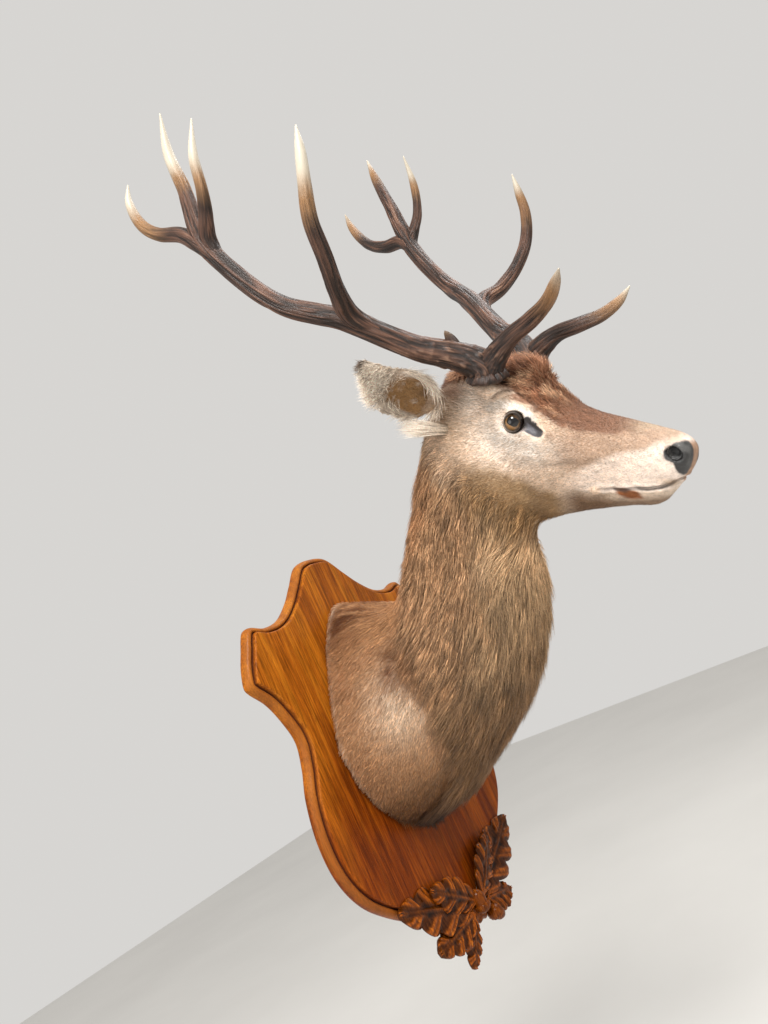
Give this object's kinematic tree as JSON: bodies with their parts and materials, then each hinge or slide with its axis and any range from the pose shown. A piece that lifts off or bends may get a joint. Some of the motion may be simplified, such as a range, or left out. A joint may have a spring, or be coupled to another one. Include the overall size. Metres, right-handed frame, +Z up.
{
  "type": "red deer stag head mount",
  "caption": "Life-size red deer stag head and neck with branched antlers, mounted on a shaped oak wall board with a carved oak-leaf spray.",
  "frame": {"origin": "centre of the flat back of the wall board, on the board's axis", "axes": "+Z up, -Y away from the wall (the way the animal faces), +X the animal's left"},
  "size_m": [0.6488, 0.7606, 1.5025],
  "materials": {
    "coat": "short brown deer hair",
    "muzzle": "short pale deer hair",
    "nose": "dark grained hide",
    "ear": "brown outside, long pale hair inside",
    "eye": "polished",
    "antler": "ridged dark horn with ivory tips",
    "oak": "clear gloss varnish",
    "carving": "dark stained, varnished"
  },
  "bodies": {
    "root": {"board": "oak", "leaf_spray_left": "carving", "leaf_spray_right": "carving", "leaf_spray_middle": "carving", "shoulders": "coat", "neck": "coat", "head": "coat", "lower_jaw": "muzzle", "nose": "nose", "ear_right": "ear", "ear_left": "ear", "eye_right": "eye", "eye_left": "eye", "antler_right_lower_beam": "antler", "antler_right_upper_beam": "antler", "antler_right_brow_tine": "antler", "antler_right_trez_tine": "antler", "antler_right_back_tine": "antler", "antler_right_crown_tine": "antler", "antler_left_lower_beam": "antler", "antler_left_upper_beam": "antler", "antler_left_brow_tine": "antler", "antler_left_trez_tine": "antler", "antler_left_back_tine": "antler", "antler_left_crown_tine": "antler", "antler_right_bez_stub": "antler"}
  },
  "joints": []
}
